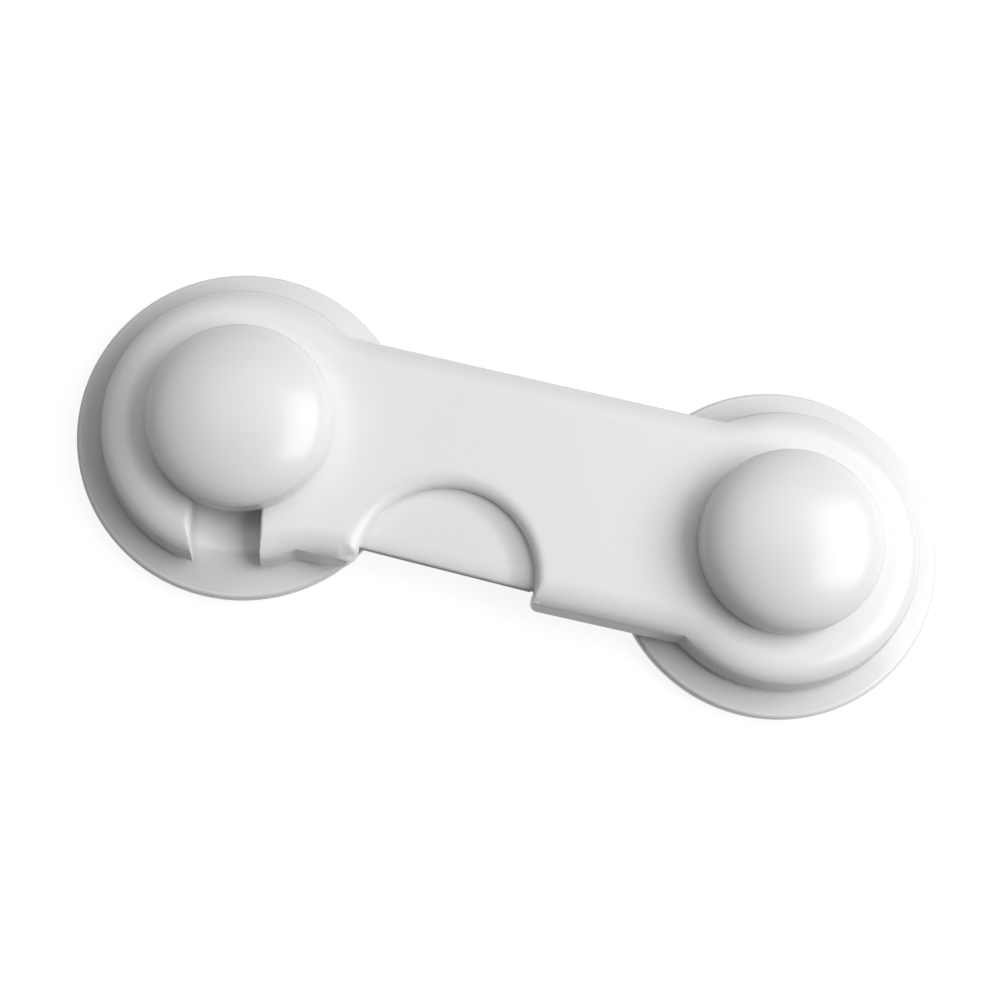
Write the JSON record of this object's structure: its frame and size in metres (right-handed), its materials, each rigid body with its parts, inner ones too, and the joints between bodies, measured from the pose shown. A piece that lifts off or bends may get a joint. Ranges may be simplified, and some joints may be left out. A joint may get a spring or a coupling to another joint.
{
  "type": "cabinet safety lock",
  "caption": "Stick-on lock for cabinet doors: a dog-bone arm turns about one domed post and hooks over the other, freed by a thumb latch in a half-moon cut-out.",
  "frame": {"origin": "on the mounting plane, which the undersides of both adhesive pads share, mid-way between the two posts", "axes": "+X along the arm from the catch post to the pivot post, +Z out of the cabinet front; the slot opens towards -Y"},
  "size_m": [0.111, 0.042, 0.018],
  "materials": {
    "white_moulding": "satin moulded white",
    "latch_plastic": "smooth natural white",
    "foam_tape": "fine closed-cell foam",
    "zinc_steel": "zinc plated",
    "spring_steel": "bright strip"
  },
  "bodies": {
    "bases": {"catch_pad": "foam_tape", "catch_base": "white_moulding", "catch_screw": "zinc_steel", "catch_cap": "white_moulding", "pivot_pad": "foam_tape", "pivot_base": "white_moulding", "pivot_screw": "zinc_steel", "pivot_cap": "white_moulding"},
    "arm": {"arm_shell": "white_moulding", "arm_cover": "white_moulding", "arm_screws": "zinc_steel", "pivot_washer": "latch_plastic", "catch_leaf": "latch_plastic", "return_spring": "spring_steel"},
    "latch": {"thumb_latch": "latch_plastic"}
  },
  "joints": [
    {"name": "arm_swing", "type": "hinge", "parent": "bases", "child": "arm", "pos_m": [0.0345, 0, 0.0076], "axis": [0, 0, -1], "range_deg": [0, 340], "deforming": ["catch_leaf"]},
    {"name": "thumb_press", "type": "slide", "parent": "arm", "child": "latch", "axis": [0, 1, 0], "range_m": [0, 0.0022], "stiffness_N_per_m": 1500, "springref_m": -0.001, "deforming": ["catch_leaf", "return_spring"]}
  ]
}
